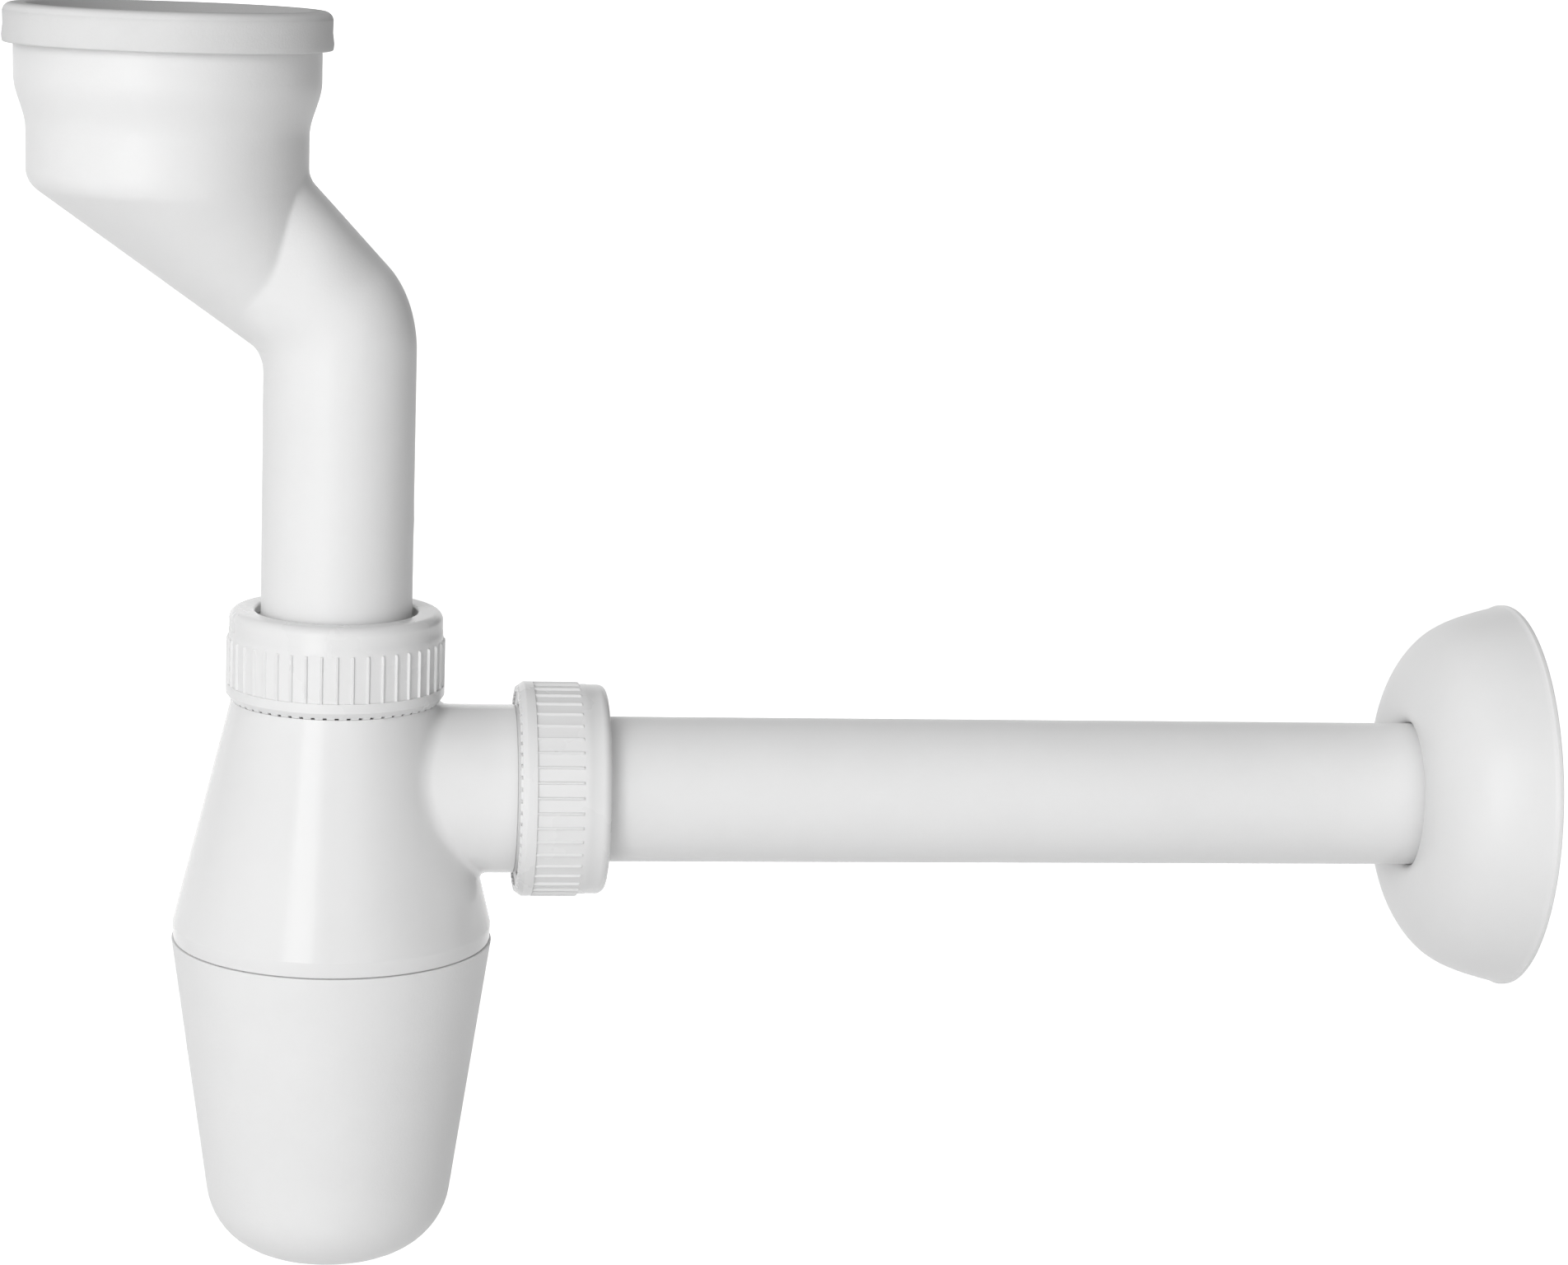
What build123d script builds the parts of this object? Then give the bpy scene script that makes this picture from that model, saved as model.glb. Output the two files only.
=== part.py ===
from build123d import *
import os
from math import cos, pi, radians, sin, tan

# Bottle trap for a wall-hung urinal, in millimetres.
# The origin is the centre of the inlet cuff's sealing bore, at its upper edge.
# +Z is up and +X runs along the outlet pipe, towards the wall.

# Tubes, walls and clearances
PIPE_R = 20.0            # outlet pipe, 40 mm
PIPE_WALL = 1.8
INLET_TUBE_STEP = 0.4
INLET_TUBE_R = PIPE_R + INLET_TUBE_STEP  # tube moulded on the funnel
TUBE_WALL = 2.0
WALL = 2.4               # wall of the funnel, the body and the cup
OFFSET = 45.8            # from the inlet axis to the bottle's axis, along X
OUTLET_Z = -203.6        # height of the outlet pipe's axis
SLIDE_GAP = 0.05         # radial gap between a tube and the ring that grips it
SEAT_GAP = 0.1           # gap between faces that meet when a nut is done up
SEAM_GAP = 0.2           # gap between the body's band and the cup's rim
SHOULDER_GAP = 0.3       # gap between a nut's open end and the shoulder under it
BORE_GAP = 0.5           # radial gap between a tube and a moulded bore round it
THREAD_GAP = 1.5         # radial room for the threads between a neck and its nut
CUP_THREAD_GAP = 1.1     # the same between the body's spigot and the cup
CUT_SPARE = 1.0          # how far a cutting solid runs past the face it opens
CURVE_STEPS = 8          # rings in each curved stretch of the funnel

# Inlet cup
CUP_R = 40.1
CUP_STEP = 3.15
CUP_LOWER_R = CUP_R - CUP_STEP
CUP_STEP_TOP = -12.4     # the cup narrows between these two heights
CUP_STEP_BOTTOM = -26.8

# Soft cuff over the inlet cup's rim
CUFF_WALL = 3.0
CUFF_R = CUP_R + CUFF_WALL
CUFF_TOP = 6.0
CUFF_HEIGHT = 10.2
CUFF_ROUND = 2.6
CUFF_EDGE_ROUND = 1.0
CUP_TOP = CUFF_TOP - CUFF_WALL
MOUTH_LIP = 6.1
MOUTH_R = CUFF_R - MOUTH_LIP
MOUTH_ROUND = 1.2
SEAL_BORE_R = 30.0
SEAL_LENGTH = 12.0
SEAL_LIP = 3.0

# Slanted neck between the cup and the tube
UNDERSIDE_SLOPE = 35.4   # of the neck's lower left edge, from the horizontal
CORNER_Z = -40.3         # where that edge would meet the cup's wall
CORNER_ROUND = 7.0
NECK_OVERLAP = 1.95      # how far the neck's end lies inside the tube, on the left
NECK_END_INSET = 3.6     # the neck's end stops this far short of the tube's axis
ELBOW_DROP = 36.9
ELBOW_Z = CORNER_Z - ELBOW_DROP  # where the slanted and upright tube axes meet
ELBOW_TURN = 43.0        # angle between them
ELBOW_R = 12.6           # bend radius of the tube's axis
SLANT_START = 15.1       # the slanted tube starts inside the cup, at this X
DIP_DEPTH = 72.0         # how far the tube goes below the outlet axis, into the water

# Screwed joints, alike at the top and at the outlet
NECK_WALL = 2.0
NECK_R = INLET_TUBE_R + BORE_GAP + NECK_WALL  # root of the neck's thread
NECK_LIP = 0.5           # flat left round the cone at the neck's end
SEAT_R = NECK_R - NECK_LIP
SEAT_DEPTH = 3.2         # cone that the washer sits in
WASHER_FLANGE = 1.5
RING_THICKNESS = 1.8
RING_GAP = 0.5           # radial gap between the slip ring and the nut
NUT_THREAD_R = NECK_R + THREAD_GAP  # root of the nut's own thread
NUT_WALL = 4.7
NUT_R = NUT_THREAD_R + NUT_WALL
RIB_HEIGHT = 0.45
NUT_COLLAR_R = NUT_R + RIB_HEIGHT
NUT_HEIGHT = 24.5
NUT_ROUND = 2.4
NUT_MOUTH_GAP = 1.5      # radial gap between the tube and the nut's mouth
NUT_MOUTH_R = INLET_TUBE_R + NUT_MOUTH_GAP
NUT_MOUTH_ROUND = 0.8
NUT_CAP = 2.6
NECK_SETBACK = NUT_CAP + RING_THICKNESS + WASHER_FLANGE + 3 * SEAT_GAP
COLLAR_LENGTH = 4.3
COLLAR_CHAMFER = 1.1     # how far the collar is cut in at the nut's open end
CHAMFER_HEIGHT = 1.65
RIB_COUNT = 44
RIB_WIDTH = 0.7
RIB_END = 17.0           # from the nut's open end
RIB_ROOT = 1.0           # how deep a rib is rooted in the nut

# Trap body, heights from the outlet axis
BODY_R = 43.45           # widest corner
BODY_CORNER = -37.6
CORNER_BLEND = 1.5
CEILING_GAP = 0.5        # between the outlet bore's top and the ceiling
BODY_CEILING = PIPE_R + BORE_GAP + CEILING_GAP
CEILING_ROUND = 2.0
CEILING_WALL = 3.9
CONE_TOP = BODY_CEILING + CEILING_WALL
SHOULDER_SETBACK = 1.0   # the cone's top is narrower than the nut by this much
CONE_TOP_R = NUT_R - SHOULDER_SETBACK
CONE_SPARE = 12.0        # cone left above the shoulder until the branch is blended
SKIRT_TAPER = 0.25
SKIRT_R = BODY_R - SKIRT_TAPER
SKIRT_HEIGHT = 2.7
SKIRT_BOTTOM = BODY_CORNER - SKIRT_HEIGHT
SKIRT_ROUND = 0.4
BAND_INSET = 0.95        # shallow band over the seam
BAND_R = BODY_R - BAND_INSET
BAND_HEIGHT = 1.6
BAND_BOTTOM = SKIRT_BOTTOM - BAND_HEIGHT
BRANCH_R = NECK_R + SHOULDER_GAP
BRANCH_ROUND = 4.5

# Places of the nuts
TOP_NUT_Z = CONE_TOP + SHOULDER_GAP  # the top nut's open end, above the outlet axis
BRANCH_REACH = 6.15
BRANCH_NUT_X = BODY_R + BRANCH_REACH  # the outlet nut's open end, from the bottle's axis
BRANCH_SHOULDER = BRANCH_NUT_X - 2 * SHOULDER_GAP
TOP_NECK_END = TOP_NUT_Z + NUT_HEIGHT - NECK_SETBACK
BRANCH_END = BRANCH_NUT_X + NUT_HEIGHT - NECK_SETBACK

# Bottle cup and the spigot it screws on, heights from the outlet axis
CUP_RIM = BAND_BOTTOM - SEAM_GAP
CUP_RIM_STEP = 0.3       # the cup's rim is wider than the body by this much
CUP_RIM_R = BODY_R + CUP_RIM_STEP
CUP_RIM_ROUND = 0.3
CUP_TAPER = 8.04         # degrees
CUP_DEPTH = 89.2
CUP_BOTTOM = CUP_RIM - CUP_DEPTH
CUP_BOTTOM_ROUND = 20.3
CUP_RIM_WALL = 3.85
CUP_THREAD_R = CUP_RIM_R - CUP_RIM_WALL  # root of the cup's own thread
LEDGE_WIDTH = 2.6
LEDGE_R = CUP_THREAD_R - LEDGE_WIDTH
SPIGOT_R = CUP_THREAD_R - CUP_THREAD_GAP  # root of the thread that the cup screws on
SPIGOT_LENGTH = 10.1
SPIGOT_BOTTOM = BAND_BOTTOM - SPIGOT_LENGTH
SPIGOT_WALL = 2.2
GASKET_THICKNESS = 2.0
GASKET_GAP = 0.3         # radial gap between the gasket and the cup
GASKET_R = CUP_THREAD_R - GASKET_GAP
GASKET_WIDTH = 2.8
GASKET_INNER_R = GASKET_R - GASKET_WIDTH

# Wall flange, along X from the bottle's axis
FLANGE_RIM_X = 330.5
FLANGE_RIM_R = 53.9
FLANGE_RIM_STEP = 0.4    # the rim's flat edge stands out by this much
FLANGE_EDGE = 1.2        # width of that edge
FLANGE_DEPTH = 30.1
FLANGE_NOSE_X = FLANGE_RIM_X - FLANGE_DEPTH
NOSE_WIDTH = 9.0         # from the pipe to the crest of the dome
FLANGE_NOSE_R = PIPE_R + NOSE_WIDTH
NOSE_TURN_IN = 3.4       # how far the dome turns back in at its hole
FLANGE_HOLE_X = FLANGE_NOSE_X + NOSE_TURN_IN
FLANGE_HOLE_GAP = 0.8
FLANGE_HOLE_R = PIPE_R + FLANGE_HOLE_GAP
FLANGE_WALL = 1.6
FLANGE_COLLAR = 5.0
FLANGE_GRIP = 1.5        # length of the collar that grips the pipe
THROAT = (0.75, 0.33)    # inner edge of the lip at the hole, in walls out and back
DOME = ((0.40, 0.11), (0.70, 0.33), (0.88, 0.64))  # shares of the way from nose to rim
NOSE_LEAN = 0.35         # how far the dome leans out for each step along X, at its hole
RIM_LEAN = 0.25          # the same at its rim

# Outlet pipe, along X from the bottle's axis
PIPE_INSERT = 23.9       # length of pipe inside the branch
PIPE_START = BRANCH_END - PIPE_INSERT
WALL_REACH = 8.5         # how far the pipe goes past the wall's face
PIPE_END = FLANGE_RIM_X + WALL_REACH
PIPE_CHAMFER = 0.8
MARK_FROM_END = 29.0     # shallow ring that marks how far the pipe goes into the wall
MARK_WIDTH = 1.0
MARK_DEPTH = 0.3


def turned(profile, rounds=None):
    """Solid turned about Z from (radius, height) corners, with some of them rounded."""
    face = make_face(Plane.XZ * Polyline(*profile, close=True))
    for corner, radius in (rounds or {}).items():
        place = Vector(profile[corner][0], 0, profile[corner][1])
        face = fillet(face.vertices().sort_by_distance(place)[0], radius)
    return revolve(face, Axis.Z)


def rod(radius, start, direction, length):
    """Solid cylinder that starts at a point and runs along a direction."""
    return Plane(start, z_dir=direction) * Cylinder(
        radius, length, align=(Align.CENTER, Align.CENTER, Align.MIN))


def on_bottle_axis(part):
    return Pos(OFFSET, 0, OUTLET_Z) * part


def on_outlet_axis(part):
    """Turn a part made along Z so that it lies along the outlet axis."""
    return Pos(OFFSET, 0, OUTLET_Z) * Rot(0, 90, 0) * part


def cup_radius_at(height):
    """Radius of the inlet cup, which narrows in an S-curve between two heights."""
    middle = (CUP_STEP_TOP + CUP_STEP_BOTTOM) / 2
    half = (CUP_STEP_TOP - CUP_STEP_BOTTOM) / 2
    share = max(-1, min(1, (height - middle) / half))
    return (CUP_R + CUP_LOWER_R) / 2 + (CUP_R - CUP_LOWER_R) / 2 * sin(share * pi / 2)


def neck_section(left, height, inset, end_z):
    """Round section of the slanted neck, from its left edge."""
    end_right = OFFSET - NECK_END_INSET
    lean = (end_right - CUP_LOWER_R) / (CORNER_Z - end_z)
    right = CUP_LOWER_R + lean * max(0, CORNER_Z - height)
    middle = Pos((left + right) / 2, 0, height + inset / 2)
    return middle * Circle((right - left) / 2 - inset)


def cup_and_neck(inset, top):
    """Round cup that runs through a rounded corner into a slanted neck."""
    sections = [Pos(0, 0, top) * Circle(CUP_R - inset)]
    for step in range(CURVE_STEPS + 1):
        height = CUP_STEP_TOP + (CUP_STEP_BOTTOM - CUP_STEP_TOP) * step / CURVE_STEPS
        sections.append(Pos(0, 0, height) * Circle(cup_radius_at(height) - inset))
    turn = 90 - UNDERSIDE_SLOPE
    end_left = OFFSET - INLET_TUBE_R + NECK_OVERLAP
    end_z = CORNER_Z - (CUP_LOWER_R + end_left) * tan(radians(UNDERSIDE_SLOPE))
    arc_top = CORNER_Z + CORNER_ROUND * tan(radians(turn / 2))
    for step in range(CURVE_STEPS + 1):
        angle = radians(turn * step / CURVE_STEPS)
        left = -CUP_LOWER_R + CORNER_ROUND * (1 - cos(angle))
        height = arc_top - CORNER_ROUND * sin(angle)
        sections.append(neck_section(left, height, inset, end_z))
    sections.append(neck_section(end_left, end_z, inset, end_z))
    return loft(sections, ruled=True, clean=False)


def elbow_tube(inset, end_z):
    """Tube that slants out of the cup and turns down into the bottle."""
    radius = INLET_TUBE_R - inset
    turn = radians(ELBOW_TURN)
    run = ELBOW_R * tan(turn / 2)
    pivot = Vector(OFFSET - ELBOW_R, 0, ELBOW_Z - run)
    slant = Vector(-sin(turn), 0, cos(turn))
    slant_length = (OFFSET - SLANT_START) / sin(turn)
    upper = rod(radius, Vector(OFFSET, 0, ELBOW_Z) + slant * run, slant, slant_length - run)
    lower = rod(radius, (OFFSET, 0, ELBOW_Z - run), (0, 0, -1), ELBOW_Z - run - end_z)
    disc = Pos(OFFSET, 0, pivot.Z) * Circle(radius)
    reach = 2 * (ELBOW_R + radius)
    outer_side = Pos(pivot.X + reach / 2, 0, pivot.Z) * Rectangle(reach, reach)
    bend = revolve(disc & outer_side, Axis(pivot, (0, -1, 0)), ELBOW_TURN)
    return upper + bend + lower


def inlet_funnel():
    dip_end = OUTLET_Z - DIP_DEPTH
    outside = cup_and_neck(0, CUP_TOP) + elbow_tube(0, dip_end)
    inside = cup_and_neck(WALL, CUP_TOP + CUT_SPARE)
    return outside - (inside + elbow_tube(TUBE_WALL, dip_end - CUT_SPARE))


def inlet_cuff():
    """Soft cuff over the cup's rim, with the sealing bore for the urinal's spigot."""
    bottom = CUFF_TOP - CUFF_HEIGHT
    cup_inner = CUP_R - WALL
    return turned(
        [(SEAL_BORE_R, 0), (SEAL_BORE_R, -SEAL_LENGTH),
         (SEAL_BORE_R + SEAL_LIP, -SEAL_LENGTH), (SEAL_BORE_R + SEAL_LIP, bottom),
         (cup_inner, bottom), (cup_inner, CUP_TOP), (CUP_R, CUP_TOP), (CUP_R, bottom),
         (CUFF_R, bottom), (CUFF_R, CUFF_TOP), (MOUTH_R, CUFF_TOP)],
        {8: CUFF_EDGE_ROUND, 9: CUFF_ROUND, 10: MOUTH_ROUND})


def nut():
    """Ribbed nut along Z with its open end at the origin."""
    cap_inside = NUT_HEIGHT - NUT_CAP
    shell = turned(
        [(NUT_THREAD_R, 0), (NUT_COLLAR_R - COLLAR_CHAMFER, 0),
         (NUT_COLLAR_R, CHAMFER_HEIGHT), (NUT_COLLAR_R, COLLAR_LENGTH),
         (NUT_R, COLLAR_LENGTH), (NUT_R, NUT_HEIGHT), (NUT_MOUTH_R, NUT_HEIGHT),
         (NUT_MOUTH_R, cap_inside), (NUT_THREAD_R, cap_inside)],
        {5: NUT_ROUND, 6: NUT_MOUTH_ROUND})
    rib = Pos(NUT_R - RIB_ROOT, 0, COLLAR_LENGTH) * Box(
        NUT_COLLAR_R - NUT_R + RIB_ROOT, RIB_WIDTH, RIB_END - COLLAR_LENGTH,
        align=(Align.MIN, Align.CENTER, Align.MIN))
    return shell + [Rot(0, 0, 360 * i / RIB_COUNT) * rib for i in range(RIB_COUNT)]


def cone_washer(tube_radius):
    """Tapered sealing ring along Z: its flange lies on the neck's end at the origin."""
    inner = tube_radius + SLIDE_GAP
    return turned(
        [(inner, -SEAT_DEPTH), (tube_radius + BORE_GAP - SLIDE_GAP, -SEAT_DEPTH),
         (SEAT_R - SEAT_GAP, 0), (SEAT_R - SEAT_GAP, SEAT_GAP), (NECK_R, SEAT_GAP),
         (NECK_R, SEAT_GAP + WASHER_FLANGE), (inner, SEAT_GAP + WASHER_FLANGE)])


def slip_ring(tube_radius):
    """Stiff ring between the cone washer and the nut's cap, from the neck's end."""
    bottom = 2 * SEAT_GAP + WASHER_FLANGE
    top = bottom + RING_THICKNESS
    inner = tube_radius + BORE_GAP
    outer = NUT_THREAD_R - RING_GAP
    return turned([(inner, bottom), (outer, bottom), (outer, top), (inner, top)])


def socket_bore(tube_radius, neck_end, depth):
    """Bore for a tube, with the washer's cone at its mouth, as a solid to cut away."""
    bore = tube_radius + BORE_GAP
    return turned(
        [(0, neck_end - depth), (bore, neck_end - depth), (bore, neck_end - SEAT_DEPTH),
         (SEAT_R, neck_end), (SEAT_R, neck_end + CUT_SPARE), (0, neck_end + CUT_SPARE)])


def trap_body():
    lean = (BODY_R - CONE_TOP_R) / (CONE_TOP - BODY_CORNER)
    shell = turned(
        [(0, SPIGOT_BOTTOM), (SPIGOT_R, SPIGOT_BOTTOM), (SPIGOT_R, BAND_BOTTOM),
         (BAND_R, BAND_BOTTOM), (BAND_R, SKIRT_BOTTOM), (SKIRT_R, SKIRT_BOTTOM),
         (BODY_R, BODY_CORNER), (CONE_TOP_R - lean * CONE_SPARE, CONE_TOP + CONE_SPARE),
         (NECK_R, CONE_TOP + CONE_SPARE), (NECK_R, TOP_NECK_END), (0, TOP_NECK_END)],
        {5: SKIRT_ROUND, 6: CORNER_BLEND})
    branch = Rot(0, 90, 0) * turned(
        [(0, 0), (BRANCH_R, 0), (BRANCH_R, BRANCH_SHOULDER), (NECK_R, BRANCH_SHOULDER),
         (NECK_R, BRANCH_END), (0, BRANCH_END)])
    body = shell + branch
    joint_line = body.edges().filter_by(GeomType.BSPLINE)
    body = fillet(joint_line, BRANCH_ROUND)
    above = turned(
        [(NECK_R, CONE_TOP), (BODY_R, CONE_TOP), (BODY_R, TOP_NECK_END + CUT_SPARE),
         (NECK_R, TOP_NECK_END + CUT_SPARE)])
    body = body - above
    spigot_inner = SPIGOT_R - SPIGOT_WALL
    meet = CONE_TOP - (spigot_inner + WALL - CONE_TOP_R) / lean
    ceiling_r = CONE_TOP_R + lean * (CONE_TOP - BODY_CEILING) - WALL
    cavity = turned(
        [(0, SPIGOT_BOTTOM - CUT_SPARE), (spigot_inner, SPIGOT_BOTTOM - CUT_SPARE),
         (spigot_inner, meet), (ceiling_r, BODY_CEILING), (0, BODY_CEILING)],
        {3: CEILING_ROUND})
    inlet_bore = socket_bore(INLET_TUBE_R, TOP_NECK_END, TOP_NECK_END - BODY_CEILING / 2)
    outlet_bore = Rot(0, 90, 0) * socket_bore(PIPE_R, BRANCH_END, BRANCH_END - CONE_TOP_R / 2)
    return body - cavity - inlet_bore - outlet_bore


def outlet_pipe():
    length = PIPE_END - PIPE_START
    inner = PIPE_R - PIPE_WALL
    mark = length - MARK_FROM_END
    tube = turned(
        [(inner, 0), (PIPE_R - PIPE_CHAMFER, 0), (PIPE_R, PIPE_CHAMFER),
         (PIPE_R, mark - MARK_WIDTH), (PIPE_R - MARK_DEPTH, mark - MARK_WIDTH),
         (PIPE_R - MARK_DEPTH, mark), (PIPE_R, mark), (PIPE_R, length - PIPE_CHAMFER),
         (PIPE_R - PIPE_CHAMFER, length), (inner, length)])
    return Pos(0, 0, PIPE_START) * tube


def dome_points(inset):
    """Points along the dome between its nose and its rim, moved in by part of the wall."""
    points = []
    for out, back in DOME:
        radius = FLANGE_NOSE_R + out * (FLANGE_RIM_R - FLANGE_NOSE_R)
        place = FLANGE_NOSE_X + back * FLANGE_DEPTH
        points.append((radius - inset * sin(out), place + inset * cos(out)))
    return points


def wall_flange():
    """Thin domed rosette that slides on the pipe, turned about Z."""
    edge_r = FLANGE_RIM_R - FLANGE_RIM_STEP
    edge_x = FLANGE_RIM_X - FLANGE_EDGE
    grip_r = PIPE_R + SLIDE_GAP
    grip_x = FLANGE_HOLE_X + FLANGE_COLLAR
    hole = (FLANGE_HOLE_R, FLANGE_HOLE_X)
    throat_out, throat_back = THROAT
    throat = (FLANGE_HOLE_R + throat_out * FLANGE_WALL, FLANGE_HOLE_X + throat_back * FLANGE_WALL)
    outer_edge = (edge_r, edge_x - FLANGE_RIM_STEP)
    inner_edge = (edge_r - FLANGE_WALL, edge_x - FLANGE_RIM_STEP)
    outside = Spline(
        hole, (FLANGE_NOSE_R, FLANGE_NOSE_X), *dome_points(0), outer_edge,
        tangents=((NOSE_LEAN, -1), (RIM_LEAN, 1)))
    inside = Spline(
        inner_edge, *reversed(dome_points(FLANGE_WALL)),
        (FLANGE_NOSE_R, FLANGE_NOSE_X + FLANGE_WALL), throat,
        tangents=((-RIM_LEAN, -1), (-NOSE_LEAN, 1)))
    rim = Polyline(
        outer_edge, (FLANGE_RIM_R, edge_x), (FLANGE_RIM_R, FLANGE_RIM_X),
        (edge_r - FLANGE_WALL, FLANGE_RIM_X), inner_edge)
    collar = Polyline(
        throat, (grip_r + FLANGE_WALL, grip_x), (grip_r, grip_x),
        (grip_r, grip_x - FLANGE_GRIP), hole)
    face = make_face(Plane.XZ * (outside + rim + inside + collar))
    return revolve(face, Axis.Z)


def cup_radius(height):
    return CUP_RIM_R - (CUP_RIM - height) * tan(radians(CUP_TAPER))


def bottle_cup():
    """Cup that screws onto the body and holds the water."""
    ledge = SPIGOT_BOTTOM - GASKET_THICKNESS - 2 * SEAT_GAP
    inner_lean = tan(radians(CUP_TAPER))
    inside_bottom = CUP_BOTTOM + WALL
    taper_start = CUP_RIM - (CUP_RIM_R - WALL - LEDGE_R) / inner_lean
    outside = turned(
        [(0, CUP_BOTTOM), (cup_radius(CUP_BOTTOM), CUP_BOTTOM), (CUP_RIM_R, CUP_RIM),
         (0, CUP_RIM)],
        {1: CUP_BOTTOM_ROUND, 2: CUP_RIM_ROUND})
    cavity = turned(
        [(0, inside_bottom), (cup_radius(inside_bottom) - WALL, inside_bottom),
         (LEDGE_R, taper_start), (LEDGE_R, ledge), (CUP_THREAD_R, ledge),
         (CUP_THREAD_R, CUP_RIM + CUT_SPARE), (0, CUP_RIM + CUT_SPARE)],
        {1: CUP_BOTTOM_ROUND - WALL})
    return outside - cavity


def cup_gasket():
    """Flat ring between the body's spigot and the ledge in the cup."""
    top = SPIGOT_BOTTOM - SEAT_GAP
    bottom = top - GASKET_THICKNESS
    return turned(
        [(GASKET_INNER_R, bottom), (GASKET_R, bottom), (GASKET_R, top), (GASKET_INNER_R, top)])


parts = {
    "inlet_funnel": inlet_funnel(),
    "inlet_cuff": inlet_cuff(),
    "top_nut": on_bottle_axis(Pos(0, 0, TOP_NUT_Z) * nut()),
    "top_slip_ring": on_bottle_axis(Pos(0, 0, TOP_NECK_END) * slip_ring(INLET_TUBE_R)),
    "top_cone_washer": on_bottle_axis(Pos(0, 0, TOP_NECK_END) * cone_washer(INLET_TUBE_R)),
    "trap_body": on_bottle_axis(trap_body()),
    "outlet_nut": on_outlet_axis(Pos(0, 0, BRANCH_NUT_X) * nut()),
    "outlet_slip_ring": on_outlet_axis(Pos(0, 0, BRANCH_END) * slip_ring(PIPE_R)),
    "outlet_cone_washer": on_outlet_axis(Pos(0, 0, BRANCH_END) * cone_washer(PIPE_R)),
    "outlet_pipe": on_outlet_axis(outlet_pipe()),
    "wall_flange": on_outlet_axis(wall_flange()),
    "cup_gasket": on_bottle_axis(cup_gasket()),
    "bottle_cup": on_bottle_axis(bottle_cup()),
}

os.makedirs("parts", exist_ok=True)
for node, part in parts.items():
    export_step(part, f"parts/{node}.step")
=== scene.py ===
from math import atan2, ceil, cos, pi, radians, sin, tan

import bmesh
import bpy
import numpy as np
from mathutils import Matrix, Vector


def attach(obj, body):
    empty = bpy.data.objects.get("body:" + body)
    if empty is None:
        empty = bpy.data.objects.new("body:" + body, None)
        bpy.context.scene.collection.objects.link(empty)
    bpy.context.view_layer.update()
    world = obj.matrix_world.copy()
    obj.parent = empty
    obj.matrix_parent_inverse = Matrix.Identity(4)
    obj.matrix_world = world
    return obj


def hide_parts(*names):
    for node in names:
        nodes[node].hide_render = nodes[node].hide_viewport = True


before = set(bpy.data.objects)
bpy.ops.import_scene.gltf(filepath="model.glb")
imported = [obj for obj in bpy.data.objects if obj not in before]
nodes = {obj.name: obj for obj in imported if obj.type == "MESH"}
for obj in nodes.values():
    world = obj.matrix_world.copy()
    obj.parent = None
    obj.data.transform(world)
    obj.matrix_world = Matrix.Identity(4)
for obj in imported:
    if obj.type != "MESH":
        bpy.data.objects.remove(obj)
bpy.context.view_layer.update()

# Sizes are in millimetres, in the part's frame or along a piece's own axis.
MM = 0.001
COARSE = 1
OFFSET, OUTLET_Z = 45.8, -203.6  # the bottle's axis and the outlet's axis
MERGE = 0.002                    # points closer than this become one
SAME_R = 0.001                   # a radius this close to a thread's root belongs to it

# Outlines


def rounded(corners, steps):
    """Outline from (r, z) corners; a third number is the radius that rounds that corner."""
    points = []
    count = len(corners)
    for i, corner in enumerate(corners):
        here = np.array(corner[:2], float)
        if len(corner) < 3:
            points.append(here)
            continue
        before = np.array(corners[i - 1][:2], float) - here
        after = np.array(corners[(i + 1) % count][:2], float) - here
        before /= np.linalg.norm(before)
        after /= np.linalg.norm(after)
        half = np.arccos(np.clip(before @ after, -1, 1)) / 2
        reach = corner[2] / tan(half)
        inward = (before + after) / np.linalg.norm(before + after)
        middle = here + inward * corner[2] / sin(half)
        start, end = here + before * reach - middle, here + after * reach - middle
        sweep = atan2(start[0] * end[1] - start[1] * end[0], start @ end)
        for k in range(steps + 1):
            a = sweep * k / steps
            points.append(middle + np.array([start[0] * cos(a) - start[1] * sin(a),
                                             start[0] * sin(a) + start[1] * cos(a)]))
    return np.array(points)


def between(a, b, step):
    """Evenly spaced points from a to b, without b, no further apart than step."""
    a, b = np.array(a, float), np.array(b, float)
    count = max(1, ceil(np.linalg.norm(b - a) / step))
    return [a + (b - a) * k / count for k in range(count)]


def filled_in(outline, step):
    """Open outline with more points where they lie further apart than step."""
    points = []
    for a, b in zip(outline[:-1], outline[1:]):
        points += between(a, b, step)
    return points + [outline[-1]]


def curve(points, start, end, per_span):
    """Smooth curve through points, with the given directions at its two ends."""
    p = np.array(points, float)
    h = np.linalg.norm(np.diff(p, axis=0), axis=1)
    n = len(p)
    system, rhs = np.zeros((n, n)), np.zeros((n, 2))
    system[0, 0] = system[-1, -1] = 1
    rhs[0] = np.array(start) / np.linalg.norm(start)
    rhs[-1] = np.array(end) / np.linalg.norm(end)
    for i in range(1, n - 1):
        system[i, i - 1], system[i, i], system[i, i + 1] = h[i], 2 * (h[i - 1] + h[i]), h[i - 1]
        rhs[i] = 3 * (h[i] / h[i - 1] * (p[i] - p[i - 1]) + h[i - 1] / h[i] * (p[i + 1] - p[i]))
    slope = np.linalg.solve(system, rhs)
    out = []
    for i in range(n - 1):
        for k in range(per_span):
            t = k / per_span
            out.append((2 * t**3 - 3 * t**2 + 1) * p[i] + (t**3 - 2 * t**2 + t) * h[i] * slope[i]
                       + (3 * t**2 - 2 * t**3) * p[i + 1] + (t**3 - t**2) * h[i] * slope[i + 1])
    out.append(p[-1])
    return np.array(out)


# Meshes


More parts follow.
